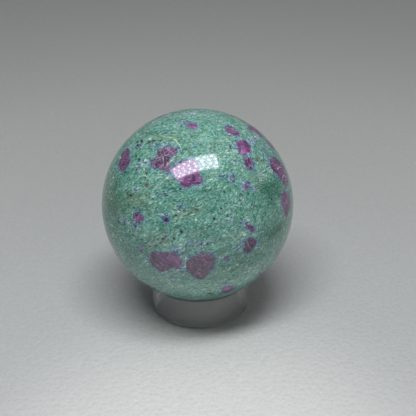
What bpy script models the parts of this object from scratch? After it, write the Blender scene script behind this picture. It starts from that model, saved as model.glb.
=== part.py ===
"""A polished stone sphere resting on a clear ring stand.

The stone is one ball of ruby, fuchsite and kyanite rock. The stand is one turned ring whose top
slopes inwards as a seat for the ball. Metres, +Z up, with the origin on the surface that the
stand rests on, under the middle of the ring.
"""

import math

import bpy

# Driving dimensions
SPHERE_RADIUS = 0.0305
STAND_OUTER_RADIUS = 0.016
STAND_BORE_RADIUS = 0.014
STAND_HEIGHT = 0.0105
SEAT_OUTER_RADIUS = 0.0155
EDGE_ROUNDING = 0.0003
SEAT_CLEARANCE = 0.0003

# How finely the round forms are faceted
SPHERE_SUBDIVISIONS = 5
TURNING_STEPS = 96
ROUNDING_STEPS = 3
SHARP_ANGLE = math.radians(25)
MERGE_DISTANCE = 0.00001

# The ball touches the middle of the seat, and the seat's slope is the ball's own slope there.
CONTACT_RADIUS = (STAND_BORE_RADIUS + SEAT_OUTER_RADIUS) / 2
SEAT_SLOPE = math.asin(CONTACT_RADIUS / SPHERE_RADIUS)
SEAT_RISE = math.tan(SEAT_SLOPE)
CONTACT_HEIGHT = STAND_HEIGHT - (SEAT_OUTER_RADIUS - CONTACT_RADIUS) * SEAT_RISE
SEAT_INNER_HEIGHT = STAND_HEIGHT - (SEAT_OUTER_RADIUS - STAND_BORE_RADIUS) * SEAT_RISE
SPHERE_CENTRE_HEIGHT = (
    CONTACT_HEIGHT
    + SPHERE_RADIUS * math.cos(SEAT_SLOPE)
    + SEAT_CLEARANCE / math.cos(SEAT_SLOPE)
)

STONE_COLOUR = (0.16, 0.31, 0.23, 1.0)
CLEAR_COLOUR = (0.80, 0.84, 0.83, 1.0)


def clear_scene():
    for obj in list(bpy.data.objects):
        bpy.data.objects.remove(obj)


def new_collection(name):
    collection = bpy.data.collections.new(name)
    bpy.context.scene.collection.children.link(collection)
    return collection


def principled(name, colour, roughness, transmission=0.0, ior=1.5):
    """A non-metal material."""
    material = bpy.data.materials.new(name)
    material.use_nodes = True
    shader = material.node_tree.nodes["Principled BSDF"]
    shader.inputs["Base Color"].default_value = colour
    shader.inputs["Metallic"].default_value = 0.0
    shader.inputs["Roughness"].default_value = roughness
    shader.inputs["Transmission Weight"].default_value = transmission
    shader.inputs["IOR"].default_value = ior
    return material


def rounded_corner(centre_radius, centre_height, start_degrees, end_degrees):
    """Points of a small arc, as (radius, height), about a centre inside the corner."""
    points = []
    for step in range(ROUNDING_STEPS + 1):
        share = step / ROUNDING_STEPS
        angle = math.radians(start_degrees + (end_degrees - start_degrees) * share)
        points.append((
            centre_radius + EDGE_ROUNDING * math.cos(angle),
            centre_height + EDGE_ROUNDING * math.sin(angle),
        ))
    return points


def stand_profile():
    """The ring's section, from the seat's rim down the outer side and up the bore."""
    outer = STAND_OUTER_RADIUS - EDGE_ROUNDING
    inner = STAND_BORE_RADIUS + EDGE_ROUNDING
    return [
        (SEAT_OUTER_RADIUS, STAND_HEIGHT),
        *rounded_corner(outer, STAND_HEIGHT - EDGE_ROUNDING, 90, 0),
        *rounded_corner(outer, EDGE_ROUNDING, 0, -90),
        *rounded_corner(inner, EDGE_ROUNDING, -90, -180),
        (STAND_BORE_RADIUS, SEAT_INNER_HEIGHT),
    ]


def turned(name, profile):
    """A closed section swept once round the Z axis, as a mesh object."""
    points = [(radius, 0.0, height) for radius, height in profile]
    edges = [(i, (i + 1) % len(points)) for i in range(len(points))]
    section = bpy.data.meshes.new(name + "_section")
    section.from_pydata(points, edges, [])
    obj = bpy.data.objects.new(name, section)
    bpy.context.scene.collection.objects.link(obj)
    screw = obj.modifiers.new("Turning", "SCREW")
    screw.axis = "Z"
    screw.angle = math.tau
    screw.steps = TURNING_STEPS
    screw.render_steps = TURNING_STEPS
    screw.use_merge_vertices = True
    screw.merge_threshold = MERGE_DISTANCE
    graph = bpy.context.evaluated_depsgraph_get()
    mesh = bpy.data.meshes.new_from_object(obj.evaluated_get(graph))
    obj.modifiers.clear()
    obj.data = mesh
    bpy.data.meshes.remove(section)
    return obj


def shade(obj, material):
    obj.data.materials.clear()
    obj.data.materials.append(material)
    obj.data.shade_smooth()
    obj.data.set_sharp_from_angle(angle=SHARP_ANGLE)


def move_to(obj, collection):
    for old in list(obj.users_collection):
        old.objects.unlink(obj)
    collection.objects.link(obj)


def make_stone_sphere(collection):
    bpy.ops.mesh.primitive_ico_sphere_add(
        subdivisions=SPHERE_SUBDIVISIONS,
        radius=SPHERE_RADIUS,
        location=(0.0, 0.0, SPHERE_CENTRE_HEIGHT),
    )
    sphere = bpy.context.object
    sphere.name = "stone_sphere"
    sphere.data.name = "stone_sphere"
    shade(sphere, principled("polished_stone", STONE_COLOUR, roughness=0.06, ior=1.6))
    move_to(sphere, collection)


def make_ring_stand(collection):
    ring = turned("ring_stand", stand_profile())
    shade(
        ring,
        principled("clear_acrylic", CLEAR_COLOUR, roughness=0.03, transmission=1.0, ior=1.49),
    )
    move_to(ring, collection)


def main():
    clear_scene()
    collection = new_collection("ruby_fuchsite_kyanite_sphere")
    make_ring_stand(collection)
    make_stone_sphere(collection)


main()
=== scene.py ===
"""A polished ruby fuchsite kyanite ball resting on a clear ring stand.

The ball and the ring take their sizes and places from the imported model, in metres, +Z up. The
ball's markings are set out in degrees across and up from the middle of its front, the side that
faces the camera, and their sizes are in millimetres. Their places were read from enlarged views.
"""

import math
import random
from collections import namedtuple

import bmesh
import bpy
import numpy as np
from mathutils import Matrix, Vector


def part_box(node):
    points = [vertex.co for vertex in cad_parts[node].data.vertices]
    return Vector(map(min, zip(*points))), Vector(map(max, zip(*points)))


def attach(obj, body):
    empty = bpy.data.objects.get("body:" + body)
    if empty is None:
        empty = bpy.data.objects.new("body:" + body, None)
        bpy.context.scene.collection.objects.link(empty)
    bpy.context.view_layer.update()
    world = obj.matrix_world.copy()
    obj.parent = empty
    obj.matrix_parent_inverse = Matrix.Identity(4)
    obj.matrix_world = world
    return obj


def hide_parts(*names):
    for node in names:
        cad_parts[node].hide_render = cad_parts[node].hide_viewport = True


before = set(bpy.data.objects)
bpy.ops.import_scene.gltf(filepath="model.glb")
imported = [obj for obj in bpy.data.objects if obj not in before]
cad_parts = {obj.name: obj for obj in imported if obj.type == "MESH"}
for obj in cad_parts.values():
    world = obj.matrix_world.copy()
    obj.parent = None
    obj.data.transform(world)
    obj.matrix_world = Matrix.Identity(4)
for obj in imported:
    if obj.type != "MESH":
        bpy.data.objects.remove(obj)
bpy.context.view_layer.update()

# Camera
IMAGE_SIDE = 416
BALL_IN_IMAGE = (197.45, 204.3)
FIELD_OF_VIEW = math.radians(24.0)
CAMERA_ELEVATION = math.radians(28.27)
CAMERA_ROLL = math.radians(1.7)
CAMERA_DISTANCE_IN_RADII = 10.25
SENSOR_WIDTH = 36.0

# Ball
MM = 1000.0
BALL_LOW, BALL_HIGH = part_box("stone_sphere")
BALL_CENTRE = (BALL_LOW + BALL_HIGH) / 2
BALL_RADIUS = (BALL_HIGH.x - BALL_LOW.x) / 2
SQUARES_A_SIDE = 128
PIT_DEPTH_MM = 0.05
SEED = 7
HIDDEN_CRYSTALS = 34
HIDDEN_VEINS = 12

# The stone's grain: sizes of flakes, flecks and jointed blocks, and how its layers lie
FLAKE_MM = 0.34
FLECK_MM = 0.52
JOINT_MM = 1.4
LAYER_TILT = (math.radians(20), math.radians(24), math.radians(15))
LAYER_SQUEEZE = (0.62, 0.9, 1.3)
STONE_IOR = 1.68

# Ring stand
RING_LOW, RING_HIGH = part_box("ring_stand")
RING_OUTER_RADIUS = RING_HIGH.x
RING_HEIGHT = RING_HIGH.z
RING_WALL = 0.002
SEAT_RIM = 0.0005
EDGE_ROUNDING = 0.0003
RING_STEPS = 256
ROUNDING_STEPS = 6
SHARP_ANGLE = math.radians(25)
CLEAR_SHARE = 0.9
CLEAR_IOR = 1.49
CLEAR_TINT = (0.99, 0.99, 0.985)

# Floor
FLOOR_GAP = 0.0001
FLOOR_REACH = 2.0
LEATHER_CELL_MM = 1.6
LEATHER_DEPTH = 0.0005

# Lamp: a panel with four rows of small bright points, the outer rows set half a step along
LAMP_CENTRE = Vector((-0.0283, -0.1248, 0.3790))
LAMP_ALONG = Vector((0.9290, 0.3524, -0.1134))
LAMP_ASIDE = Vector((-0.3409, 0.9338, 0.1085))
LAMP_LENGTH = 0.400
LAMP_WIDTH = 0.137
LAMP_POWER = 0.05
LAMP_EDGE = 0.02
GLOW_STRENGTH = 20.5
GLOW_COLOUR = (0.98, 0.98, 1.13)
POINT_STRENGTH = 62.0
COLUMN_STEP = 0.0482
ROW_STEP = 0.0289
COLUMN_GAP = 0.0071
GAP_START = 0.060
POINT_CORE = 0.0042
POINT_RIM = 0.0096
LAMP_ROWS = 4

# Soft light from the same place, for all that isn't a reflection
SOFT_LENGTH = 0.30
SOFT_WIDTH = 0.09
SOFT_POWER = 1.51
SOFT_BEHIND = 0.004
SOFT_FORWARD = 0.020

# Faint light from the front and right
FILL_FROM = Vector((0.28, -0.42, 0.17))
FILL_SIDE = 0.3
FILL_POWER = 0.18

# The ball's own directions: right, up and out of the middle of its front
FRONT = np.array((0.0, -math.cos(CAMERA_ELEVATION), math.sin(CAMERA_ELEVATION)))
RIGHT = np.array((1.0, 0.0, 0.0))
ABOVE = np.array((0.0, math.sin(CAMERA_ELEVATION), math.cos(CAMERA_ELEVATION)))

# A ruby crystal: its outline in degrees, how light, how mottled and how grey it is from 0 to 1, and
# which way its fine streaks run, in degrees turned from across
Crystal = namedtuple("Crystal", "outline light mottle grey grain")

# A soft patch or a small grain: place in degrees, length and width in mm, lean in degrees, strength
Patch = namedtuple("Patch", "across up length width lean strength", defaults=(0.0, 1.0))

# A healed crack: both ends in degrees, its width in mm and how pale it is
Vein = namedtuple("Vein", "start end width pale")

CRYSTALS = [
    # upper left, near the edge
    Crystal(((-61.6, 33.6), (-56.1, 35.1), (-51.8, 33.2), (-50.4, 30.0), (-46.4, 26.8), (-47.0, 23.9),
             (-51.1, 20.6), (-54.1, 20.9), (-55.4, 23.2), (-58.6, 24.6), (-59.8, 28.6)),
            0.45, 0.2, 0.25, 0),
    # the two lobes at the upper left
    Crystal(((-26.0, 32.9), (-20.1, 34.1), (-12.9, 33.0), (-11.9, 30.7), (-14.6, 28.3), (-16.8, 25.6),
             (-15.4, 22.8), (-15.1, 18.2), (-17.7, 18.6), (-20.7, 20.4), (-25.1, 20.9), (-28.2, 23.4),
             (-28.9, 26.1), (-25.0, 28.0)), 0.12, 0.6, 0.25, 35),
    # under the lamp's reflection
    Crystal(((-14.9, 19.8), (-12.9, 22.1), (-8.7, 24.3), (-3.9, 25.4), (-0.2, 24.7), (1.4, 20.7),
             (1.5, 16.6), (3.4, 13.1), (1.3, 10.9), (-2.9, 10.4), (-6.2, 9.3), (-8.7, 11.2),
             (-10.8, 14.1), (-13.2, 16.5)), 0.25, 0.05, 0.0, 0),
    # top, bright pink
    Crystal(((-9.3, 53.4), (-7.1, 53.7), (-3.6, 53.2), (-0.7, 53.2), (2.5, 51.1), (1.4, 48.2),
             (-1.4, 47.0), (-4.3, 48.6), (-6.4, 51.1), (-8.6, 51.8)), 0.95, 0.1, 0.05, -20),
    # upper right, three in a row down the side
    Crystal(((25.7, 47.5), (28.2, 49.6), (32.1, 50.1), (34.3, 49.3), (36.1, 46.4), (37.0, 43.6),
             (34.6, 41.1), (32.1, 41.1), (30.0, 42.9), (26.4, 43.2)), 0.38, 0.3, 0.1, -30),
    Crystal(((29.3, 37.1), (35.0, 37.9), (38.6, 37.5), (39.9, 34.3), (39.6, 30.7), (36.4, 29.3),
             (32.9, 27.5), (30.0, 28.2), (28.6, 30.0), (29.1, 34.3)), 0.6, 0.15, 0.0, 60),
    Crystal(((30.7, 26.1), (35.0, 25.7), (36.8, 23.6), (35.7, 20.7), (34.3, 17.9), (32.1, 18.9),
             (30.7, 21.4)), 0.42, 0.7, 0.2, 70),
    # slivers along the upper right edge
    Crystal(((52.1, 47.1), (59.3, 51.4), (70.0, 51.8), (75.7, 47.1), (70.0, 43.6), (65.4, 42.1),
             (62.1, 40.7), (60.0, 43.6), (55.7, 45.7)), 0.5, 0.3, 0.3, 0),
    Crystal(((65.5, 38.6), (71.0, 39.0), (74.0, 35.0), (72.0, 31.5), (67.0, 32.5)), 0.35, 0.5, 0.6, 0),
    # right edge, two tall ones
    Crystal(((55.0, 25.7), (59.3, 26.8), (63.6, 26.1), (67.1, 24.6), (70.0, 22.1), (72.9, 17.9),
             (73.6, 14.3), (69.3, 10.4), (65.4, 9.3), (61.4, 10.4), (59.3, 13.6), (55.0, 16.4),
             (52.1, 19.3), (52.5, 22.9)), 0.42, 0.3, 0.15, 10),
    Crystal(((57.1, 4.3), (60.7, 5.7), (65.0, 5.6), (68.6, 3.6), (70.7, 0.0), (70.0, -3.6),
             (67.1, -5.7), (64.6, -8.9), (62.1, -8.2), (59.3, -5.0), (56.6, -0.7)), 0.55, 0.35, 0.2, 80),
    # left middle, small
    Crystal(((-38.6, -4.6), (-35.7, -3.9), (-33.6, -3.6), (-33.2, -5.4), (-30.7, -6.8), (-32.1, -7.9),
             (-34.3, -7.5), (-35.4, -9.3), (-37.1, -7.9), (-38.4, -6.8)), 0.5, 0.6, 0.1, 40),
    Crystal(((-18.9, -8.2), (-17.8, -6.6), (-16.1, -6.8), (-16.2, -8.4), (-17.6, -9.4)), 0.0, 0.1, 0.1, 0),
    # right middle, small
    Crystal(((26.4, 9.5), (27.9, 10.9), (29.7, 10.4), (29.9, 8.4), (28.4, 7.4), (27.1, 8.2)),
            0.6, 0.4, 0.2, 0),
    Crystal(((20.3, 15.5), (21.5, 15.0), (21.6, 12.6), (20.6, 12.0)), 0.3, 0.5, 0.5, 0),
    Crystal(((27.9, -12.0), (30.0, -11.8), (32.1, -12.9), (34.3, -13.6), (33.9, -15.7), (32.1, -16.4),
             (30.7, -14.6), (28.6, -14.6)), 0.05, 0.2, 0.1, 0),
    Crystal(((28.9, -20.7), (32.9, -19.6), (35.7, -20.7), (37.9, -23.2), (36.8, -26.4), (33.9, -29.1),
             (31.1, -29.3), (29.3, -26.4), (28.6, -23.6)), -0.15, 0.2, 0.2, -50),
    # the large pair low on the front
    Crystal(((-35.4, -32.9), (-33.6, -30.0), (-30.7, -27.1), (-27.1, -26.6), (-23.6, -26.8), (-20.0, -27.5),
             (-16.4, -27.1), (-12.9, -28.9), (-11.4, -32.1), (-12.1, -35.7), (-14.3, -38.6), (-17.1, -38.6),
             (-19.3, -37.1), (-21.8, -38.6), (-25.7, -40.0), (-29.3, -40.4), (-32.1, -38.6),
             (-34.3, -35.7)), 0.45, 0.25, 0.5, -55),
    Crystal(((-9.6, -35.7), (-7.9, -32.9), (-5.0, -30.4), (-0.7, -29.6), (0.7, -27.1), (4.3, -27.9),
             (8.6, -29.6), (10.4, -32.9), (9.6, -36.4), (8.9, -40.0), (6.4, -42.9), (2.9, -46.5),
             (-1.4, -47.5), (-5.7, -43.5), (-8.6, -40.0)), 0.25, 0.3, 0.6, -45),
    # bottom, pink
    Crystal(((25.7, -56.4), (30.0, -55.0), (33.6, -55.7), (37.9, -57.9), (43.6, -60.7), (40.7, -63.6),
             (35.0, -65.0), (30.7, -63.6), (27.1, -60.4)), 0.65, 0.4, 0.4, -10),
    # faint ones
    Crystal(((-40.5, -24.5), (-38.0, -24.0), (-37.0, -26.0), (-39.5, -27.0)), 0.2, 0.9, 0.6, 0),
    Crystal(((15.7, -31.0), (18.0, -30.9), (20.7, -32.3), (19.0, -32.9), (16.5, -32.3)), 0.15, 0.8, 0.7, 0),
    Crystal(((-67.0, 68.0), (-56.0, 68.5), (-50.0, 65.0), (-54.0, 63.0), (-64.0, 64.0)), 0.6, 0.7, 0.8, 0),
    Crystal(((60.0, -46.0), (70.0, -45.0), (78.0, -48.0), (70.0, -50.0)), 0.4, 0.6, 0.7, 0),
    Crystal(((-74.0, -55.0), (-66.0, -54.0), (-60.0, -57.0), (-66.0, -60.0)), 0.2, 0.3, 0.6, 0),
]

KYANITE = [
    Patch(-43.0, 37.0, 3.0, 2.2, 0, 1.0),
    Patch(-30.0, 35.5, 3.0, 2.0, 60, 0.8),
    Patch(-21.5, 37.0, 4.0, 1.6, 0, 0.6),
    Patch(-38.0, 20.7, 2.6, 1.6, 60, 0.9),
    Patch(-34.0, 24.5, 3.4, 2.2, 0, 0.7),
    Patch(-37.0, 9.5, 3.4, 2.0, 0, 0.75),
    Patch(-64.0, 16.5, 2.6, 2.0, 0, 0.8),
    Patch(-17.0, 6.8, 3.4, 1.8, 20, 0.8),
    Patch(-9.3, -0.7, 1.6, 2.2, 0, 0.8),
    Patch(-2.0, 70.5, 4.6, 2.0, 0, 0.9),
    Patch(-8.0, 66.4, 2.8, 1.6, 0, 0.8),
    Patch(-13.0, 54.0, 2.6, 2.6, 0, 0.8),
    Patch(-21.4, 56.4, 3.0, 1.0, -50, 0.7),
    Patch(19.3, 63.2, 3.4, 1.3, 10, 0.8),
    Patch(37.0, 51.4, 4.2, 1.0, 0, 0.8),
    Patch(45.0, 38.0, 5.0, 2.2, 30, 0.8),
    Patch(50.7, 40.0, 3.2, 1.4, 0, 0.7),
    Patch(56.0, 34.0, 4.5, 2.6, 0, 0.7),
    Patch(24.0, 23.6, 2.2, 1.9, 30, 1.0),
    Patch(25.0, 34.0, 1.8, 4.5, 0, 0.6),
    Patch(14.5, 15.0, 4.4, 1.6, 0, 0.6),
    Patch(26.4, 8.6, 1.6, 1.6, 0, 0.9),
    Patch(33.6, 7.9, 3.8, 1.7, -50, 0.75),
    Patch(41.0, 16.5, 4.0, 3.6, 0, 0.55),
    Patch(49.3, 24.3, 3.6, 5.0, 0, 0.6),
    Patch(-20.0, -5.5, 3.2, 1.9, 0, 0.6),
    Patch(-48.6, -7.0, 4.0, 2.2, -50, 0.8),
    Patch(-44.0, -9.0, 4.0, 2.8, 0, 0.55),
    Patch(-38.0, -10.7, 2.2, 1.6, 0, 0.9),
    Patch(-41.4, -16.0, 2.8, 1.4, -50, 0.6),
    Patch(-19.3, -17.1, 1.8, 1.6, 0, 0.9),
    Patch(-28.6, -21.0, 3.0, 1.2, 20, 0.7),
    Patch(-11.0, -25.5, 5.0, 2.4, -45, 0.75),
    Patch(2.0, -21.8, 7.0, 3.0, 0, 0.75),
    Patch(18.6, -6.0, 3.4, 3.6, 0, 0.6),
    Patch(19.3, -12.5, 2.4, 3.0, 0, 0.6),
    Patch(30.7, -2.0, 3.4, 2.2, 0, 0.6),
    Patch(24.3, -25.5, 2.8, 2.6, 0, 0.8),
    Patch(39.3, -21.4, 1.5, 1.5, 0, 0.9),
    Patch(26.0, -10.7, 2.0, 1.7, 0, 0.9),
    Patch(-21.0, -46.5, 5.0, 3.4, 0, 0.55),
    Patch(-41.4, -56.4, 8.0, 2.0, 0, 0.6),
    Patch(-48.6, -37.1, 3.4, 2.2, 0, 0.5),
    Patch(21.0, -57.0, 4.0, 2.0, 0, 0.5),
]

DEEP_BLUE_GRAINS = [
    Patch(-43.5, 36.6, 1.4, 1.1),
    Patch(-9.3, 8.6, 1.1, 1.0),
    Patch(-9.5, -1.0, 0.8, 0.9),
    Patch(10.7, 1.8, 0.7, 0.8),
    Patch(44.3, 2.5, 1.0, 0.7),
    Patch(16.4, -7.0, 1.0, 0.7),
    Patch(18.4, 19.0, 0.9, 0.6),
    Patch(13.0, 15.2, 0.6, 0.6),
    Patch(16.0, 15.4, 0.6, 0.6),
    Patch(-52.0, -8.6, 1.1, 1.3),
    Patch(-38.2, -11.2, 0.9, 0.9),
    Patch(-19.0, -17.0, 0.8, 0.9),
    Patch(-35.7, -18.8, 0.8, 0.6),
    Patch(-41.6, -16.2, 0.8, 0.7),
    Patch(24.0, -24.4, 0.8, 0.7),
    Patch(39.3, -21.4, 0.9, 0.8),
    Patch(24.4, 24.4, 1.0, 0.7),
    Patch(23.5, 33.0, 0.7, 2.4),
    Patch(-0.5, -21.0, 0.7, 0.7),
    Patch(1.5, -22.5, 0.8, 0.7),
    Patch(-44.3, 9.3, 1.2, 0.5),
    Patch(-38.6, 20.6, 1.1, 0.6, 60),
]

BLACK_SPECKS = [
    Patch(-49.0, 39.8, 1.8, 0.9, -20),
    Patch(-44.5, 40.0, 2.4, 1.0, -35),
    Patch(-46.5, 37.2, 1.3, 0.9),
    Patch(-36.0, 38.6, 2.0, 1.0, 15),
    Patch(-32.0, 39.3, 1.7, 0.8, 10),
    Patch(-26.0, 39.5, 1.0, 0.8),
    Patch(-38.9, 27.1, 1.2, 1.0),
    Patch(-42.5, 29.5, 1.3, 0.7, -40),
    Patch(-41.5, 27.5, 0.9, 0.7),
    Patch(-30.5, 18.6, 1.0, 0.8, -20),
    Patch(-30.9, 15.5, 0.7, 0.9),
    Patch(-43.3, 6.8, 1.3, 0.6, -35),
    Patch(-40.6, 6.0, 1.9, 0.7, 12),
    Patch(-16.3, 13.5, 1.3, 0.6, -35),
    Patch(-15.2, 11.2, 0.9, 0.7),
    Patch(-9.4, -14.9, 1.3, 1.2, 60),
    Patch(-7.6, -13.3, 1.0, 0.6),
    Patch(-21.0, -18.9, 1.4, 0.9),
    Patch(-19.2, -15.2, 0.6, 1.0),
    Patch(-14.3, -18.4, 1.0, 1.1),
    Patch(-27.0, -22.8, 1.9, 0.6, 15),
    Patch(-3.6, -4.6, 1.3, 0.6),
    Patch(-12.2, -5.7, 1.0, 0.8),
    Patch(-7.3, -3.3, 0.8, 0.7),
    Patch(-0.6, -2.8, 0.8, 0.7),
    Patch(5.0, 1.7, 1.2, 0.6, 20),
    Patch(15.0, 6.3, 0.9, 0.9),
    Patch(25.6, 4.2, 0.9, 0.6),
    Patch(12.9, -2.7, 0.7, 1.0),
    Patch(8.7, -8.4, 1.3, 0.8, 60),
    Patch(6.3, -12.2, 1.4, 0.6),
    Patch(5.3, -22.3, 1.1, 1.0),
    Patch(46.4, 1.8, 0.7, 0.9),
    Patch(-37.9, -0.8, 0.9, 0.6),
    Patch(-36.0, -9.6, 0.9, 0.9),
    Patch(13.2, -64.3, 2.0, 1.4),
    Patch(-7.5, -23.5, 0.6, 1.4),
]

PALE_CHIPS = [
    Patch(-37.0, 41.2, 2.4, 1.2, -20),
    Patch(-41.0, 41.3, 1.4, 0.7),
    Patch(-33.0, 20.6, 2.0, 0.8, -25),
    Patch(-62.9, 13.2, 1.9, 1.2),
    Patch(-16.6, 15.0, 0.9, 1.0),
    Patch(-14.4, 13.5, 0.7, 0.9),
    Patch(-10.4, -3.6, 1.5, 1.0),
    Patch(-7.1, -1.6, 0.9, 0.7, 80),
    Patch(-2.9, -5.5, 1.6, 0.6, 10),
    Patch(-7.7, -12.6, 0.8, 0.6),
    Patch(-12.9, -43.2, 1.6, 1.0, 20),
    Patch(-12.3, -14.4, 0.8, 0.7),
    Patch(6.6, -11.3, 1.0, 0.8),
    Patch(7.0, -8.2, 1.3, 0.7, -30),
    Patch(18.6, -13.8, 1.2, 1.0, 60),
    Patch(27.6, -17.6, 2.2, 1.3, -25),
    Patch(36.1, -11.2, 0.9, 0.9),
    Patch(18.0, -15.5, 0.7, 0.7),
    Patch(2.3, -16.5, 1.4, 0.7, 80),
    Patch(54.6, -22.9, 1.2, 0.9),
    Patch(4.0, 0.7, 1.6, 0.6, 20),
    Patch(25.0, 2.3, 1.0, 1.1),
    Patch(52.5, 41.5, 1.7, 1.1),
    Patch(-62.0, -15.4, 1.7, 1.1),
    Patch(-20.8, -19.6, 1.0, 0.5),
]

RUST_SPECKS = [
    Patch(-29.5, 11.6, 1.8, 1.2, -40),
    Patch(-3.5, 29.9, 1.9, 0.6, -50),
    Patch(2.0, -13.4, 1.1, 0.8, -30),
    Patch(6.3, -56.0, 1.3, 0.9),
    Patch(41.0, 25.0, 1.3, 1.8),
    Patch(9.0, -7.8, 0.8, 1.0),
    Patch(0.6, -3.4, 0.9, 0.6),
    Patch(-30.4, 18.0, 0.9, 0.7),
    Patch(13.0, 35.5, 1.2, 0.7),
]

RUBY_BLUSH = [
    Patch(-15.7, -33.1, 5.2, 2.4, -62, 0.8),
    Patch(-25.7, -30.0, 3.6, 1.0, -50, 0.5),
    Patch(3.5, -32.3, 2.8, 2.4, 0, 0.6),
    Patch(65.4, 17.6, 4.0, 2.6, 0, 0.9),
    Patch(-9.0, 13.5, 2.2, 1.8, 0, 0.9),
    Patch(2.0, 13.7, 1.8, 2.0, 0, 0.7),
    Patch(-7.0, 20.0, 7.0, 4.0, 0, 0.8),
    Patch(-52.9, 21.8, 2.4, 1.0, 60, 0.8),
    Patch(-56.8, 30.5, 2.4, 1.4, 0, 0.5),
    Patch(33.2, 29.3, 2.6, 1.8, 0, 0.6),
    Patch(32.0, 42.6, 2.4, 1.2, -40, 0.6),
    Patch(33.4, -59.2, 3.6, 2.0, 0, 0.8),
    Patch(61.7, 46.6, 3.0, 1.2, 0, 0.7),
    Patch(-19.0, 31.5, 2.4, 1.4, 20, 0.4),
]

TAN_TINTS = [
    Patch(-36.0, 3.0, 9.0, 4.5, 0, 0.7),
    Patch(-20.0, 41.0, 9.0, 3.0, 10, 0.6),
    Patch(-62.0, 13.0, 4.0, 4.0, 0, 0.6),
    Patch(-54.0, 3.0, 8.0, 5.0, 0, 0.4),
    Patch(-26.0, -20.0, 7.0, 3.0, 20, 0.6),
    Patch(34.0, 13.5, 5.0, 3.5, 0, 0.5),
    Patch(-6.0, -3.5, 6.0, 2.4, 15, 0.7),
]

# Painted sheen: a paler band near the ball's lower edge, standing in for the lit floor's reflection; the
# hidden side's pale patches are paler mica
PAINTED_FLOOR_SHEEN = [
    Patch(-8.0, -58.0, 30.0, 9.0, 0, 0.5),
]

# Darker green patches: those on the right are darker mica, while those at the left edge and low on the
# front are painted shade
DARK_GREEN_AND_PAINTED_SHADE = [
    Patch(46.0, 7.0, 10.0, 5.0, 0, 0.8),
    Patch(52.0, -17.0, 8.0, 3.0, 20, 0.8),
    Patch(-57.0, 0.0, 9.0, 9.0, 0, 0.7),
    Patch(30.0, -33.0, 12.0, 6.0, 0, 0.5),
    Patch(-44.0, 47.0, 8.0, 2.4, -20, 0.5),
    Patch(8.0, 8.0, 8.0, 4.0, 0, 0.4),
]

VEINS = [
    Vein((-15.6, 40.4), (-7.8, 29.8), 0.3, 0.8),
    Vein((-26.0, 42.4), (-15.0, 40.4), 0.3, 0.6),
    Vein((-13.4, 26.6), (-18.8, 21.6), 0.35, 0.8),
    Vein((-26.7, 7.4), (-18.4, 13.8), 0.26, 0.6),
    Vein((-45.2, 35.7), (-35.9, 39.5), 0.25, 0.5),
    Vein((-27.0, 27.0), (-17.0, 29.5), 0.22, 0.5),
    Vein((-21.5, 33.0), (-19.5, 21.5), 0.2, 0.4),
    Vein((-18.0, 14.0), (-15.8, 16.8), 0.25, 0.5),
    Vein((-0.6, -2.2), (5.0, 0.4), 0.25, 0.5),
    Vein((-8.0, -29.4), (-10.6, -37.8), 0.35, 0.7),
    Vein((31.0, -22.4), (34.0, -26.4), 0.2, 0.5),
    Vein((58.0, 19.2), (66.6, 20.6), 0.35, 0.8),
    Vein((60.4, 11.2), (64.6, 15.8), 0.35, 0.8),
    Vein((64.4, 15.6), (70.4, 14.2), 0.35, 0.8),
    Vein((-42.0, 44.0), (-30.0, 42.0), 0.3, 0.5),
    Vein((37.0, 51.0), (47.0, 35.0), 0.35, 0.6),
    Vein((23.0, 41.0), (29.0, 25.0), 0.3, 0.5),
]


def linear(red, green, blue):
    """A colour named by its red, green and blue on screen, 0 to 255, as light."""
    shares = [level / 255.0 for level in (red, green, blue)]
    return tuple(s / 12.92 if s <= 0.04045 else ((s + 0.055) / 1.055) ** 2.4 for s in shares)


MICA_DARK = linear(50, 84, 78)
MICA_DEEP = linear(73, 121, 109)
MICA_MIDDLE = linear(101, 156, 143)
MICA_LIGHT = linear(138, 188, 175)
MICA_PALE = linear(188, 218, 211)
MICA_DEEP_GREEN = linear(40, 116, 86)
MINT = linear(172, 204, 186)
FLAKE_WHITE = linear(222, 232, 226)
TAN = linear(150, 148, 120)
WARM_GRAIN = linear(124, 104, 84)
KYANITE_DARK = linear(54, 84, 112)
KYANITE_BLUE = linear(96, 136, 160)
KYANITE_PALE = linear(134, 166, 190)
KYANITE_WHITE = linear(182, 202, 212)
NAVY = linear(30, 52, 86)
RIM_BLUE = linear(62, 92, 116)
RUBY_NAVY = linear(50, 32, 68)
RUBY_DARK = linear(88, 46, 94)
RUBY_MAGENTA = linear(116, 70, 120)
RUBY_PINK = linear(150, 98, 154)
RUBY_PALE = linear(178, 146, 184)
RUBY_GREY = linear(132, 128, 154)
RUBY_DULL = linear(92, 83, 95)
RUBY_STREAK = linear(196, 178, 202)
BLACK_GRAIN = linear(20, 32, 32)
CHIP_WHITE = linear(212, 220, 212)
RUST = linear(110, 76, 62)
VEIN_WHITE = linear(214, 224, 216)
# Floor colours near the ball and farther out: the step between them is a painted pool of light
FLOOR_PAINTED_LIT = linear(214, 216, 216)
FLOOR_PAINTED_DIM = linear(184, 187, 188)


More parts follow.
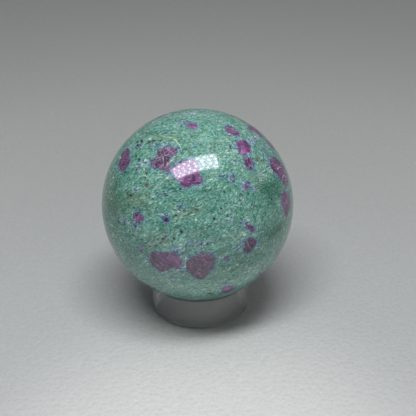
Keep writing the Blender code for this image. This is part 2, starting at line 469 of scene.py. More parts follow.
class Field:
    """What one output of a node gives over a surface. Arithmetic on it adds more nodes."""

    def __init__(self, recipe, socket):
        self.recipe = recipe
        self.socket = socket

    def other(self, output):
        """Another output of the same node."""
        return Field(self.recipe, self.socket.node.outputs[output])

    def joined(self, operation, first, second):
        """Math on values, and Vector Math where either side is a vector."""
        sides = (first, second)
        vectors = [s for s in sides if isinstance(s, tuple) or getattr(s, "is_vector", False)]
        kind = "ShaderNodeVectorMath" if vectors else "ShaderNodeMath"
        return self.recipe.node(kind, {"operation": operation}, {0: first, 1: second})

    @property
    def is_vector(self):
        return self.socket.type == "VECTOR"

    def __add__(self, other):
        return self.joined("ADD", self, other)

    def __radd__(self, other):
        return self.joined("ADD", other, self)

    def __sub__(self, other):
        return self.joined("SUBTRACT", self, other)

    def __rsub__(self, other):
        return self.joined("SUBTRACT", other, self)

    def __mul__(self, other):
        return self.joined("MULTIPLY", self, other)

    def __rmul__(self, other):
        return self.joined("MULTIPLY", other, self)

    def __truediv__(self, other):
        return self.joined("DIVIDE", self, other)


class Recipe:
    """A node tree, and one method that adds any node to it."""

    def __init__(self, tree):
        self.tree = tree

    def node(self, kind, settings=None, values=None, output=0):
        """Adds a node. Its settings go first, because some of them change its sockets."""
        made = self.tree.nodes.new(kind)
        for name, setting in (settings or {}).items():
            if name == "stops":
                fill_ramp(made.color_ramp, setting)
            else:
                setattr(made, name, setting)
        for name, value in (values or {}).items():
            self.feed(made.inputs[name], value)
        return Field(self, made.outputs[output])

    def feed(self, socket, value):
        """Links a field to a socket, or sets a plain value on it."""
        if isinstance(value, Field):
            self.tree.links.new(value.socket, socket)
        elif socket.type == "RGBA":
            socket.default_value = (*value, 1.0)
        elif socket.type == "VECTOR" and not isinstance(value, tuple):
            socket.default_value = (value,) * 3
        else:
            socket.default_value = value

    def place(self):
        """The place on the piece, in metres."""
        return self.node("ShaderNodeTexCoord", output="Object")

    def measured(self, name):
        """A number kept on the mesh's points."""
        return self.node("ShaderNodeAttribute", {"attribute_name": name}, output="Fac")

    def measured_three(self, name):
        """Three numbers kept together on the mesh's points."""
        kept = self.node("ShaderNodeAttribute", {"attribute_name": name}, output="Vector")
        first = self.node("ShaderNodeSeparateXYZ", None, {"Vector": kept}, "X")
        return first, first.other("Y"), first.other("Z")

    def noise(self, place, size, detail=2.0, roughness=0.5, output="Fac"):
        values = {"Vector": place, "Scale": 1.0 / size, "Detail": detail, "Roughness": roughness}
        return self.node("ShaderNodeTexNoise", {"noise_dimensions": "3D"}, values, output)

    def cells(self, place, size):
        """Three random numbers for each small cell, from 0 to 1."""
        values = {"Vector": place, "Scale": 1.0 / size}
        colour = self.node("ShaderNodeTexVoronoi", {"feature": "F1"}, values, "Color")
        first = self.node("ShaderNodeSeparateColor", None, {"Color": colour}, "Red")
        return first, first.other("Green"), first.other("Blue")

    def whole(self, value):
        return self.node("ShaderNodeMath", {"operation": "FLOOR"}, {0: value})

    def size(self, value):
        return self.node("ShaderNodeMath", {"operation": "ABSOLUTE"}, {0: value})

    def over(self, value, limit):
        return self.node("ShaderNodeMath", {"operation": "GREATER_THAN"}, {0: value, 1: limit})

    def step(self, value, low, high):
        """0 where the value is under low, 1 where it is over high, and smooth between."""
        settings = {"interpolation_type": "SMOOTHSTEP", "clamp": True}
        values = {"Value": value, "From Min": low, "From Max": high}
        return self.node("ShaderNodeMapRange", settings, values)

    def blend(self, first, second, amount):
        """A colour that is first where amount is 0, and second where it is 1."""
        settings = {"data_type": "RGBA", "clamp_factor": True}
        values = {"Factor": amount, 6: first, 7: second}
        return self.node("ShaderNodeMix", settings, values, 2)

    def shaded(self, colour, share):
        """A colour made darker or lighter by a share."""
        settings = {"data_type": "RGBA", "blend_type": "MULTIPLY"}
        return self.node("ShaderNodeMix", settings, {"Factor": 1.0, 6: colour, 7: share}, 2)

    def ramp(self, value, stops):
        return self.node("ShaderNodeValToRGB", {"stops": stops}, {"Fac": value}, "Color")


def fill_ramp(ramp, stops):
    """Sets a colour ramp's stops, each a position and a colour."""
    while len(ramp.elements) < len(stops):
        ramp.elements.new(1.0)
    for element, (position, colour) in zip(ramp.elements, stops):
        element.position = position
        element.color = (*colour, 1.0)


def new_finish(name):
    """A material, the recipe for its nodes and its shader."""
    material = bpy.data.materials.new(name)
    material.use_nodes = True
    return material, Recipe(material.node_tree), material.node_tree.nodes["Principled BSDF"]


def on_ball(across, up):
    """The outward direction at a place on the ball, in degrees from the middle of its front."""
    across, up = math.radians(across), math.radians(up)
    level = math.sin(across) * RIGHT + math.cos(across) * FRONT
    return math.cos(up) * level + math.sin(up) * ABOVE


def axes_at(out):
    """The directions across and up along the ball's surface at a place."""
    across = np.cross(ABOVE, out)
    across /= np.linalg.norm(across)
    return across, np.cross(out, across)


class BallMap:
    """The ball's points, and how far each one lies from the markings, in millimetres."""

    def __init__(self, outwards):
        self.points = outwards * BALL_RADIUS * MM

    def flattened(self, out, lean=0.0):
        """The points as seen from straight above a place, with far points pushed away."""
        across, up = axes_at(out)
        turn = math.radians(lean)
        first = math.cos(turn) * across + math.sin(turn) * up
        second = math.cos(turn) * up - math.sin(turn) * across
        behind = np.where(self.points @ out > 0, 1.0, 100.0)
        return self.points @ first * behind, self.points @ second * behind

    def inside_outline(self, outline, out):
        """How far inside an outline each point is, and minus its distance outside it."""
        x, y = self.flattened(out)
        across, up = axes_at(out)
        corners = [on_ball(*corner) * BALL_RADIUS * MM for corner in outline]
        corners = [np.array((corner @ across, corner @ up)) for corner in corners]
        distance = np.full(len(x), np.inf)
        inside = np.zeros(len(x), bool)
        for start, end in zip(corners, corners[1:] + corners[:1]):
            edge = end - start
            share = np.clip(((x - start[0]) * edge[0] + (y - start[1]) * edge[1]) / (edge @ edge), 0, 1)
            gap = np.hypot(x - start[0] - share * edge[0], y - start[1] - share * edge[1])
            distance = np.minimum(distance, gap)
            spans = (start[1] > y) != (end[1] > y)
            rise = edge[1] if edge[1] else 1e-9
            inside ^= spans & (x < edge[0] * (y - start[1]) / rise + start[0])
        return np.where(inside, distance, -distance)

    def soft(self, patches):
        """How strongly soft patches cover each point, from 0 to 1."""
        bare = np.ones(len(self.points))
        for patch in patches:
            x, y = self.flattened(on_ball(patch.across, patch.up), patch.lean)
            reach = (2 * x / patch.length) ** 2 + (2 * y / patch.width) ** 2
            bare *= 1 - patch.strength * np.exp(-0.7 * reach)
        return 1 - bare

    def grains(self, patches):
        """How far inside the nearest small grain each point is, and how strong that grain is."""
        depth = np.full(len(self.points), -5.0)
        strength = np.zeros(len(self.points))
        for patch in patches:
            x, y = self.flattened(on_ball(patch.across, patch.up), patch.lean)
            share = np.hypot(2 * x / patch.length, 2 * y / patch.width)
            here = (1 - share) * min(patch.length, patch.width) / 2
            nearer = here > depth
            depth[nearer] = here[nearer]
            strength[nearer] = patch.strength
        return np.stack((depth, strength, 0 * depth), axis=1)

    def crystals(self, crystals):
        """For the crystal nearest to each point: depth inside it, its own numbers and its grain."""
        count = len(self.points)
        depth = np.full(count, -50.0)
        nature = np.zeros((count, 3))
        grain = np.zeros((count, 3))
        for number, crystal in enumerate(crystals):
            out = sum(on_ball(*corner) for corner in crystal.outline)
            out /= np.linalg.norm(out)
            here = self.inside_outline(crystal.outline, out)
            nearer = here > depth
            along, aside = self.flattened(out, crystal.grain)
            depth[nearer] = here[nearer]
            nature[nearer] = (crystal.light, crystal.mottle, crystal.grey)
            grain[nearer, 0] = along[nearer]
            grain[nearer, 1] = aside[nearer]
            grain[nearer, 2] = number * 10.0
        return depth, nature, grain


class HiddenSide:
    """Markings for the sides that the front doesn't show, in the same style and density."""

    SHOWN_ANGLE = math.radians(80.0)
    CRYSTAL_SPANS = ((0.2, 0.9), (0.1, 0.8), (0.0, 0.5), (-60, 60))

    def __init__(self, seed):
        self.dice = random.Random(seed)
        self.taken = []

    def place(self, room):
        """A place past the edge of the front, with some room round it, in degrees."""
        for _ in range(400):
            across = self.dice.uniform(-180, 180)
            up = math.degrees(math.asin(self.dice.uniform(-1, 1)))
            out = on_ball(across, up)
            hidden = out @ FRONT < math.cos(self.SHOWN_ANGLE)
            if hidden and all(out @ other < math.cos(math.radians(room)) for other in self.taken):
                return across, up, out
        return across, up, out

    def crystal(self):
        size = self.dice.choice((1.6, 2.2, 2.8, 3.6, 4.8, 6.2, 8.0, 9.5))
        across, up, out = self.place(5.0 + size * 1.1)
        self.taken.append(out)
        first, second = axes_at(out)
        corners = self.dice.randint(6, 9)
        aspect = self.dice.uniform(1.0, 1.7)
        lean = self.dice.uniform(0, math.pi)
        outline = []
        for corner in range(corners):
            turn = math.tau * (corner + self.dice.uniform(-0.25, 0.25)) / corners
            reach = size / 2 * self.dice.uniform(0.78, 1.15)
            long, wide = reach * math.cos(turn) * aspect, reach * math.sin(turn)
            x = long * math.cos(lean) - wide * math.sin(lean)
            y = long * math.sin(lean) + wide * math.cos(lean)
            spot = out + (x * first + y * second) / (BALL_RADIUS * MM)
            outline.append(as_degrees(spot / np.linalg.norm(spot)))
        light, mottle, grey, grain = (self.dice.uniform(*span) for span in self.CRYSTAL_SPANS)
        return Crystal(tuple(outline), light, mottle, grey, grain)

    def patches(self, count, lengths, aspects, strengths=(1.0, 1.0), room=4.0):
        made = []
        for _ in range(count):
            across, up, _out = self.place(room)
            length = self.dice.uniform(*lengths)
            width = length / self.dice.uniform(*aspects)
            lean = self.dice.uniform(-30, 50)
            made.append(Patch(across, up, length, width, lean, self.dice.uniform(*strengths)))
        return made

    def vein(self):
        across, up, _out = self.place(3.0)
        end = (across + self.dice.uniform(-9, 9), up + self.dice.uniform(-6, 6))
        return Vein((across, up), end, self.dice.uniform(0.25, 0.38), self.dice.uniform(0.5, 0.9))


def as_degrees(out):
    """A direction as degrees across and up from the middle of the front."""
    across = math.degrees(math.atan2(out @ RIGHT, out @ FRONT))
    return across, math.degrees(math.asin(max(-1.0, min(1.0, out @ ABOVE))))


def all_markings():
    """The front's markings with the hidden side's added to them."""
    hidden = HiddenSide(SEED)
    crystals = CRYSTALS + [hidden.crystal() for _ in range(HIDDEN_CRYSTALS)]
    return {
        "crystals": crystals,
        "kyanite": KYANITE + hidden.patches(84, (2.0, 7.0), (1.2, 2.6), (0.5, 0.9))
        + hidden.patches(12, (8.0, 16.0), (1.4, 2.4), (0.25, 0.45)),
        "deep_blue": DEEP_BLUE_GRAINS + hidden.patches(38, (0.9, 2.4), (1.1, 2.2), (0.6, 1.0)),
        "black": BLACK_SPECKS + hidden.patches(66, (0.9, 2.8), (1.2, 2.6), (0.5, 1.0)),
        "pale": PALE_CHIPS + hidden.patches(54, (1.0, 2.8), (1.3, 2.6), (0.5, 1.0)),
        "rust": RUST_SPECKS + hidden.patches(12, (0.9, 1.9), (1.2, 2.2)),
        "tan": TAN_TINTS + hidden.patches(10, (5.0, 9.0), (1.6, 2.6), (0.4, 0.8)),
        "blush": RUBY_BLUSH + hidden.patches(24, (1.6, 4.0), (1.3, 2.2), (0.4, 0.9)),
        "pale_mica": PAINTED_FLOOR_SHEEN + hidden.patches(9, (10.0, 20.0), (1.3, 2.2), (0.4, 0.8)),
        "dark_green": DARK_GREEN_AND_PAINTED_SHADE + hidden.patches(14, (6.0, 12.0), (1.3, 2.4), (0.4, 0.9)),
        "veins": VEINS + [hidden.vein() for _ in range(HIDDEN_VEINS)],
    }


def keep_on_points(mesh, name, numbers):
    """Stores a number, or three, for each of a mesh's points."""
    kind, field = ("FLOAT_VECTOR", "vector") if numbers.ndim == 2 else ("FLOAT", "value")
    attribute = mesh.attributes.new(name, kind, "POINT")
    attribute.data.foreach_set(field, numbers.astype(np.float32).ravel())


def cube_of_squares():
    """A cube divided into small squares, each side of it given its own tile of the flat map."""
    built = bmesh.new()
    bmesh.ops.create_cube(built, size=2.0)
    bmesh.ops.subdivide_edges(built, edges=built.edges[:], cuts=SQUARES_A_SIDE - 1, use_grid_fill=True)
    flat = built.loops.layers.uv.new("OFBake")
    tile_gap = 0.01
    for face in built.faces:
        side = max(range(3), key=lambda axis: abs(face.normal[axis]))
        others = [axis for axis in range(3) if axis != side]
        column, row = side, int(face.normal[side] > 0)
        face.smooth = True
        for loop in face.loops:
            x, y = ((loop.vert.co[axis] + 1) / 2 for axis in others)
            loop[flat].uv = (
                (column + tile_gap + x * (1 - 2 * tile_gap)) / 3,
                (row + tile_gap + y * (1 - 2 * tile_gap)) / 2,
            )
    mesh = bpy.data.meshes.new("polished_ball")
    built.to_mesh(mesh)
    built.free()
    return mesh


def polished_ball(markings):
    """The stone ball, with tiny pits sunk at its black specks."""
    mesh = cube_of_squares()
    corners = np.empty(len(mesh.vertices) * 3, np.float32)
    mesh.vertices.foreach_get("co", corners)
    outwards = np.tan(corners.reshape(-1, 3).astype(float) * math.pi / 4)
    outwards /= np.linalg.norm(outwards, axis=1, keepdims=True)

    ball_map = BallMap(outwards)
    depth, nature, grain = ball_map.crystals(markings["crystals"])
    black = ball_map.grains(markings["black"])
    keep_on_points(mesh, "crystal_depth", depth)
    keep_on_points(mesh, "crystal_nature", nature)
    keep_on_points(mesh, "crystal_grain", grain)
    keep_on_points(mesh, "black_grain", black)
    keep_on_points(mesh, "pale_grain", ball_map.grains(markings["pale"]))
    keep_on_points(mesh, "rust_grain", ball_map.grains(markings["rust"]))
    keep_on_points(mesh, "blue_grain", ball_map.grains(markings["deep_blue"]))
    for name in ("kyanite", "tan", "dark_green", "pale_mica", "blush"):
        keep_on_points(mesh, name, ball_map.soft(markings[name]))

    sunk = PIT_DEPTH_MM / MM * np.clip(black[:, 0] / 0.3 + 0.3, 0, 1) * black[:, 1]
    places = outwards * (BALL_RADIUS - sunk)[:, None] + np.array(BALL_CENTRE)
    mesh.vertices.foreach_set("co", places.astype(np.float32).ravel())
    mesh.update()
    ball = bpy.data.objects.new("polished_ball", mesh)
    bpy.context.scene.collection.objects.link(ball)
    mesh.materials.append(stone_finish(markings["veins"]))
    return ball


def stone_finish(veins):
    """Green mica rock with ruby crystals, kyanite round them, specks, chips and veins."""
    material, r, shader = new_finish("polished_stone_finish")
    place = (r.place() - tuple(BALL_CENTRE)) * MM

    # The mica's layers bend gently, and its flakes lie along them.
    bend = (r.noise(place, 16.0, 2.0, output="Color") - (0.5, 0.5, 0.5)) * 6.0
    turned = r.node(
        "ShaderNodeVectorRotate", {"rotation_type": "EULER_XYZ"},
        {"Vector": place + bend, "Rotation": LAYER_TILT},
    )
    layered = turned * LAYER_SQUEEZE

    flake, flake_blue, flake_tone = r.cells(layered, FLAKE_MM)
    fleck, _spare, fleck_tone = r.cells(layered + (3.0, 1.0, 2.0), FLECK_MM)
    broad = r.noise(layered, 6.0, 2.0, 0.6)
    mid = r.noise(layered + (7.0, 0.0, 0.0), 2.0, 3.0, 0.85)
    fine = r.noise(layered, 0.5, 1.0, 1.0)
    hue = r.noise(layered + (0.0, 13.0, 0.0), 3.2, 4.0, 0.85)
    grain = (mid - 0.5) * 0.5 + (fine - 0.5) * 0.55 + (flake - 0.5) * 0.42 + (fleck - 0.5) * 0.12
    measured_blue = r.measured("kyanite")
    busy = r.step(measured_blue + (broad - 0.5) * 0.8, 0.05, 0.6)
    grain = grain * (0.82 + busy * 0.5)

    # Green mica. Under the darker-green patches it is darker and greener, partly painted shade; under the
    # pale patch near the lower edge it is paler, painted sheen.
    dark_green = r.measured("dark_green")
    pale_mica = r.measured("pale_mica")
    lightness = 0.52 + (broad - 0.5) * 0.35 + grain + pale_mica * 0.15 - dark_green * 0.2
    green = r.ramp(lightness, (
        (0.0, MICA_DARK), (0.3, MICA_DEEP), (0.5, MICA_MIDDLE), (0.75, MICA_LIGHT), (1.0, MICA_PALE),
    ))
    green = r.blend(green, MICA_DEEP_GREEN, dark_green * 0.35 + r.step(hue, 0.52, 0.68) * 0.65)
    green = r.blend(green, TAN, r.measured("tan") * r.step(mid, 0.35, 0.6) * 0.7)
    green = r.blend(green, TAN, r.step(hue, 0.42, 0.3) * 0.45)
    green = r.blend(green, MINT, pale_mica * 0.3)
    green = r.blend(green, FLAKE_WHITE, r.step(fleck_tone, 0.95, 0.96) * r.step(broad, 0.42, 0.6) * 0.6)
    green = r.blend(green, MICA_DARK, r.step(fleck_tone, 0.035, 0.025) * 0.7)
    green = r.blend(green, WARM_GRAIN, r.step(flake_tone, 0.93, 0.94) * r.step(hue, 0.55, 0.4) * 0.6)

    # Kyanite, in patches, scattered grains and a halo round each crystal
    ragged = (r.noise(place, 1.3, 4.0, 0.6) - 0.5) * 1.5 + (fleck - 0.5) * 0.3
    crystal_depth = r.measured("crystal_depth") + ragged
    halo = r.step(crystal_depth, -1.7, -0.3)
    scattered = r.step(r.noise(layered + (0.0, 5.0, 0.0), 3.0, 2.0), 0.45, 0.8)
    share = measured_blue * 0.95 + halo * 0.6 + scattered * 0.5
    spread = r.noise(layered + (0.0, 0.0, 9.0), 1.0, 2.0, 0.9)
    kyanite = r.ramp(0.45 + grain * 0.9 + (broad - 0.5) * 0.3, (
        (0.0, KYANITE_DARK), (0.35, KYANITE_BLUE), (0.62, KYANITE_PALE), (1.0, KYANITE_WHITE),
    ))
    kyanite = r.blend(kyanite, NAVY, r.step(fleck_tone, 0.14, 0.11) * 0.75)
    kyanite = r.blend(kyanite, FLAKE_WHITE, r.step(fleck_tone, 0.93, 0.95) * 0.55)
    mixed = share - spread * 0.9 - flake_blue * 0.3
    stone = r.blend(green, kyanite, r.step(mixed, -0.25, 0.2) * 0.85)
    blue_depth, blue_strength, _spare = r.measured_three("blue_grain")
    stone = r.blend(stone, NAVY, r.step(blue_depth + ragged * 0.35, -0.1, 0.2) * blue_strength * 0.9)

    # Pale and dark hairlines between the grains
    patchy = r.noise(place, 1.4, 3.0, 0.8)
    bent = place + (r.noise(place, 1.2, 2.0, output="Color") - (0.5, 0.5, 0.5)) * 1.0
    joint = r.node(
        "ShaderNodeTexVoronoi", {"feature": "DISTANCE_TO_EDGE"}, {"Vector": bent, "Scale": 1.0 / JOINT_MM},
        "Distance",
    )
    hair = r.step(joint, 0.09, 0.03) * busy
    stone = r.blend(stone, VEIN_WHITE, hair * r.step(patchy, 0.52, 0.6) * 0.55)
    stone = r.blend(stone, BLACK_GRAIN, hair * r.step(patchy, 0.4, 0.34) * 0.6)

    # Ruby crystals: cracked grains with fine streaks, and a blue rim here and there
    rim = r.step(crystal_depth, -0.55, -0.15) * r.step(spread, 0.4, 0.6)
    stone = r.blend(stone, RIM_BLUE, rim * 0.75)
    light, mottle, grey = r.measured_three("crystal_nature")
    blush = r.measured("blush")
    block, _spare, block_tone = r.cells(bent, JOINT_MM)
    tone = light * 0.55 + 0.2 + (patchy - 0.5) * 0.6 + (block - 0.5) * 0.4 + (fine - 0.5) * 0.3
    ruby = r.ramp(tone + blush * 0.3, (
        (0.0, RUBY_NAVY), (0.3, RUBY_DARK), (0.55, RUBY_MAGENTA), (0.8, RUBY_PINK), (1.0, RUBY_PALE),
    ))
    ruby = r.blend(ruby, RUBY_GREY, r.step(block_tone, 0.7, 0.75) * mottle * 0.45)
    ruby = r.blend(ruby, RUBY_DULL, grey * (1.0 - blush * 0.8))
    lines = r.node("ShaderNodeAttribute", {"attribute_name": "crystal_grain"}, output="Vector")
    streaked = r.noise(lines * (0.22, 1.7, 1.0), 0.9, 2.0, 0.5)
    crossed = r.noise(lines * (1.5, 0.25, 1.0) + (5.0, 5.0, 0.0), 1.1, 1.0)
    streak = r.step(streaked, 0.6, 0.68) + r.step(crossed, 0.66, 0.72) * 0.6
    cracked = r.step(joint, 0.12, 0.04) * (mottle + 0.1) * r.step(patchy, 0.4, 0.6)
    ruby = r.blend(ruby, RUBY_STREAK, streak * 0.35 + cracked * 0.6)
    inside = r.step(crystal_depth, -0.15, 0.12)
    stone = r.blend(stone, ruby, inside)

    # Rust, black specks, pale chips and healed cracks
    fine_rag = (r.noise(layered, 0.5, 3.0, 0.7) - 0.5) * 1.2 + (flake - 0.5) * 0.35
    stone = with_grains(r, stone, "rust_grain", fine_rag, RUST, 0.75)
    speckled = ((flake_tone - 0.5) * 0.6 + (fine - 0.5) * 0.7) * (1.0 - inside * 0.5)
    # The darker-green patches also darken all the stone under them, rubies too: partly painted shade, on
    # top of the grain's own speckle
    stone = r.shaded(stone, 1.0 - dark_green * 0.18 + speckled)
    stone = with_grains(r, stone, "black_grain", fine_rag - 0.06, BLACK_GRAIN, 0.92)
    stone = with_grains(r, stone, "pale_grain", fine_rag - 0.2, CHIP_WHITE, 0.9)
    wandering = place + (r.noise(place, 1.8, 2.0, output="Color") - (0.5, 0.5, 0.5)) * 1.3
    broken = r.step(fine, 0.35, 0.55)
    for vein in veins:
        stone = r.blend(stone, VEIN_WHITE, vein_mask(r, wandering, vein) * broken * vein.pale)

    r.feed(shader.inputs["Base Color"], stone)
    shader.inputs["IOR"].default_value = STONE_IOR
    r.feed(shader.inputs["Roughness"], 0.08 + r.step(fleck, 0.3, 1.0) * 0.02)
    relief = r.node(
        "ShaderNodeBump", None, {"Strength": 0.02, "Distance": 0.00001, "Height": broad}, "Normal",
    )
    r.feed(shader.inputs["Normal"], relief)
    return material


def with_grains(r, stone, name, ragged, colour, strength):
    """Lays the small grains of one kind into the stone, with ragged edges."""
    depth, own_strength, _spare = r.measured_three(name)
    return r.blend(stone, colour, r.step(depth + ragged, -0.1, 0.18) * own_strength * strength)


def vein_mask(r, place, vein):
    """A thin band where a flat crack through the ball's centre meets its surface."""
    start, end = on_ball(*vein.start), on_ball(*vein.end)
    across = np.cross(start, end)
    across /= np.linalg.norm(across)
    middle = (start + end) / 2 * BALL_RADIUS * MM
    reach = float(np.linalg.norm(end - start)) / 2 * BALL_RADIUS * MM
    offset = r.node(
        "ShaderNodeVectorMath", {"operation": "DOT_PRODUCT"}, {0: place, 1: tuple(across)}, "Value",
    )
    gap = r.size(offset)
    away = r.node(
        "ShaderNodeVectorMath", {"operation": "DISTANCE"}, {0: place, 1: tuple(middle)}, "Value",
    )
    return r.step(gap, vein.width * 0.75, vein.width * 0.25) * r.step(away, reach, reach * 0.8)


def arc_points(centre_radius, centre_height, start, end):
    """Points of a rounded edge, as (radius, height), about a centre inside the corner."""
    points = []
    for step in range(ROUNDING_STEPS + 1):
        turn = math.radians(start + (end - start) * step / ROUNDING_STEPS)
        points.append((
            centre_radius + EDGE_ROUNDING * math.cos(turn),
            centre_height + EDGE_ROUNDING * math.sin(turn),
        ))
    return points


def clear_ring():
    """The stand's ring, turned finely, with its sloping seat and small rounded edges."""
    bore = RING_OUTER_RADIUS - RING_WALL
    seat_rim = RING_OUTER_RADIUS - SEAT_RIM
    contact = (bore + seat_rim) / 2
    seat_rise = math.tan(math.asin(contact / BALL_RADIUS))
    seat_foot = RING_HEIGHT - (seat_rim - bore) * seat_rise
    outer = RING_OUTER_RADIUS - EDGE_ROUNDING
    profile = [
        (seat_rim, RING_HEIGHT),
        *arc_points(outer, RING_HEIGHT - EDGE_ROUNDING, 90, 0),
        *arc_points(outer, EDGE_ROUNDING, 0, -90),
        *arc_points(bore + EDGE_ROUNDING, EDGE_ROUNDING, -90, -180),
        (bore, seat_foot),
    ]
    built = bmesh.new()
    section = [built.verts.new((radius, 0.0, height)) for radius, height in profile]
    edges = [built.edges.new((a, b)) for a, b in zip(section, section[1:] + section[:1])]
    bmesh.ops.spin(
        built, geom=section + edges, axis=(0, 0, 1), cent=(0, 0, 0),
        angle=math.tau, steps=RING_STEPS, use_merge=True,
    )
    bmesh.ops.remove_doubles(built, verts=built.verts[:], dist=1e-6)
    bmesh.ops.recalc_face_normals(built, faces=built.faces[:])
    mesh = bpy.data.meshes.new("clear_ring")
    built.to_mesh(mesh)
    built.free()
    mesh.shade_smooth()
    mesh.set_sharp_from_angle(angle=SHARP_ANGLE)
    mesh.materials.append(clear_finish())
    ring = bpy.data.objects.new("clear_ring", mesh)
    bpy.context.scene.collection.objects.link(ring)
    return ring


def clear_finish():
    """Clear acrylic with faint wiping marks."""
    material, r, shader = new_finish("clear_acrylic_finish")
    shader.inputs["Transmission Weight"].default_value = CLEAR_SHARE
    shader.inputs["IOR"].default_value = CLEAR_IOR
    shader.inputs["Base Color"].default_value = (*CLEAR_TINT, 1.0)
    place = r.place() * MM
    wiped = r.noise(place * (0.3, 0.3, 3.0), 2.0, 3.0)
    r.feed(shader.inputs["Roughness"], 0.01 + r.step(wiped, 0.5, 0.75) * 0.03)
    return material


def pale_floor():
    """A pale leathery sheet with a fine grain, its colour painted lighter near the ball and darker farther
    out, a painted pool of the lamp's light.
    """
    built = bmesh.new()
    bmesh.ops.create_grid(built, x_segments=8, y_segments=8, size=FLOOR_REACH)
    mesh = bpy.data.meshes.new("floor")
    built.to_mesh(mesh)
    built.free()
    material, r, shader = new_finish("floor_finish")
    place = r.place()
    spread = place * (1.6, 1.0, 1.0) + (0.0, 0.12, 0.0)
    away = r.node("ShaderNodeVectorMath", {"operation": "LENGTH"}, {0: spread}, "Value")
    # Painted light: lighter near the ball, darker past it, and a little lighter again far off
    middle = r.step(away, 0.06, 0.14) - r.step(away, 0.18, 0.32) * 0.3
    crease = r.node(
        "ShaderNodeTexVoronoi", {"feature": "DISTANCE_TO_EDGE"},
        {"Vector": place * MM, "Scale": 1.0 / LEATHER_CELL_MM}, "Distance",
    )
    pale = r.blend(FLOOR_PAINTED_LIT, FLOOR_PAINTED_DIM, middle)
    r.feed(shader.inputs["Base Color"], r.shaded(pale, 0.98 + r.step(crease, 0.14, 0.02) * 0.05))
    shader.inputs["Roughness"].default_value = 0.6
    cell = r.node(
        "ShaderNodeTexVoronoi", {"feature": "SMOOTH_F1"},
        {"Vector": place * MM, "Scale": 1.0 / LEATHER_CELL_MM, "Smoothness": 0.3}, "Distance",
    )
    height = cell * (r.step(away, 0.05, 0.2) * 0.5 - 1.0)
    relief = r.node(
        "ShaderNodeBump", None, {"Strength": 0.55, "Distance": LEATHER_DEPTH, "Height": height}, "Normal",
    )
    r.feed(shader.inputs["Normal"], relief)
    mesh.materials.append(material)
    floor = bpy.data.objects.new("floor", mesh)
    bpy.context.scene.collection.objects.link(floor)
    floor.location.z = -FLOOR_GAP
    return floor


def add_camera():
    centre = Vector(BALL_CENTRE)
    back = Vector(FRONT)
    lens = bpy.data.cameras.new("camera")
    lens.sensor_width = SENSOR_WIDTH
    lens.lens = SENSOR_WIDTH / 2 / math.tan(FIELD_OF_VIEW / 2)
    lens.shift_x = 0.5 - BALL_IN_IMAGE[0] / IMAGE_SIDE
    lens.shift_y = BALL_IN_IMAGE[1] / IMAGE_SIDE - 0.5
    camera = bpy.data.objects.new("camera", lens)
    bpy.context.scene.collection.objects.link(camera)
    camera.location = centre + back * (CAMERA_DISTANCE_IN_RADII * BALL_RADIUS)
    aim = (-back).to_track_quat("-Z", "Y").to_matrix()
    camera.rotation_euler = (aim @ Matrix.Rotation(-CAMERA_ROLL, 3, "Z")).to_euler()
    bpy.context.scene.camera = camera


def add_lamp(name, length, width, power, place, along, aside):
    """A flat lamp at a place measured from the ball's centre, turned by its two directions."""
    data = bpy.data.lights.new(name, "AREA")
    data.shape = "RECTANGLE"
    data.size = length
    data.size_y = width
    data.energy = power
    lamp = bpy.data.objects.new(name, data)
    bpy.context.scene.collection.objects.link(lamp)
    turned = Matrix((along, aside, along.cross(aside))).transposed()
    lamp.matrix_world = Matrix.Translation(Vector(BALL_CENTRE) + place) @ turned.to_4x4()
    return lamp


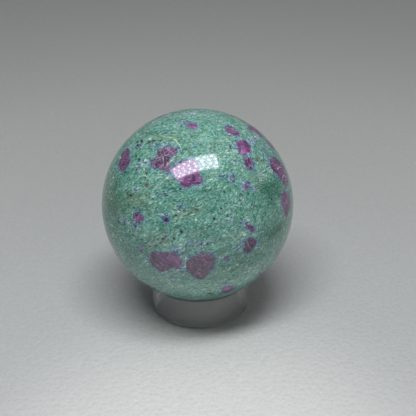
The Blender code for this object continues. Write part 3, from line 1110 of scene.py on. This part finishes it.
def add_lamps():
    """A panel with rows of bright points that shows in the polish, and soft light from behind it."""
    back = LAMP_ALONG.cross(LAMP_ASIDE)
    soft_place = LAMP_CENTRE + back * SOFT_BEHIND - LAMP_ASIDE * SOFT_FORWARD
    soft = add_lamp("soft_lamp", SOFT_LENGTH, SOFT_WIDTH, SOFT_POWER, soft_place, LAMP_ALONG, LAMP_ASIDE)
    soft.visible_glossy = False
    level = Vector((0.0, 0.0, 1.0)).cross(FILL_FROM).normalized()
    upright = FILL_FROM.cross(level).normalized()
    fill = add_lamp("fill_lamp", FILL_SIDE, FILL_SIDE, FILL_POWER, FILL_FROM, level, upright)
    fill.visible_glossy = False
    panel = add_lamp("panel_lamp", LAMP_LENGTH, LAMP_WIDTH, LAMP_POWER, LAMP_CENTRE, LAMP_ALONG, LAMP_ASIDE)
    panel.visible_diffuse = False

    panel.data.use_nodes = True
    r = Recipe(panel.data.node_tree)
    emission = next(node for node in panel.data.node_tree.nodes if node.type == "EMISSION")
    spot = r.node("ShaderNodeNewGeometry", output="Parametric")
    first = r.node("ShaderNodeSeparateXYZ", None, {"Vector": spot}, "X")
    along = (first - 0.5) * LAMP_LENGTH
    aside = (first.other("Y") - 0.5) * LAMP_WIDTH
    row = r.whole(aside / ROW_STEP + LAMP_ROWS / 2)
    outer = r.over(r.size(row - (LAMP_ROWS - 1) / 2), 1.0)
    steps_along = (along - r.over(along, GAP_START) * COLUMN_GAP) / COLUMN_STEP + outer * 0.5
    from_column = (steps_along - r.whole(steps_along) - 0.5) * COLUMN_STEP
    from_row = (aside / ROW_STEP - r.whole(aside / ROW_STEP) - 0.5) * ROW_STEP
    squared = from_column * from_column + from_row * from_row
    away = r.node("ShaderNodeMath", {"operation": "SQRT"}, {0: squared})
    to_end = LAMP_LENGTH / 2 - r.size(along)
    to_side = LAMP_WIDTH / 2 - r.size(aside)
    glow = r.step(to_end, 0.0, LAMP_EDGE * 1.5) * r.step(to_side, 0.0, LAMP_EDGE)
    inside = r.over(to_side, ROW_STEP * 0.4) * r.over(to_end, COLUMN_STEP * 0.3)
    point = r.step(away, POINT_RIM, POINT_CORE) * inside
    emission.inputs["Color"].default_value = (*GLOW_COLOUR, 1.0)
    r.feed(emission.inputs["Strength"], glow * GLOW_STRENGTH + point * POINT_STRENGTH)


def dim_room():
    """Soft light from a dim room, lighter overhead, behind and on the right."""
    world = bpy.data.worlds.new("dim_room")
    bpy.context.scene.world = world
    world.use_nodes = True
    r = Recipe(world.node_tree)
    direction = r.node("ShaderNodeTexCoord", output="Generated")
    height = r.node("ShaderNodeSeparateXYZ", None, {"Vector": direction}, "Z")
    low = r.blend((0.022, 0.023, 0.024), (0.12, 0.117, 0.105), r.step(height.other("X"), -0.6, 0.9))
    low = r.blend(low, (0.22, 0.225, 0.24), r.step(height.other("Y"), 0.4, 1.0))
    colour = r.blend(low, (0.46, 0.455, 0.43), r.step(height, 0.6, 1.0))
    background = world.node_tree.nodes["Background"]
    r.feed(background.inputs["Color"], colour)
    background.inputs["Strength"].default_value = 1.0


def main():
    ball = polished_ball(all_markings())
    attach(ball, "root")
    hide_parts("stone_sphere")

    ring = clear_ring()
    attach(ring, "root")
    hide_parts("ring_stand")

    pale_floor()
    add_camera()
    add_lamps()
    dim_room()
    bpy.context.scene.view_settings.view_transform = "Standard"


main()
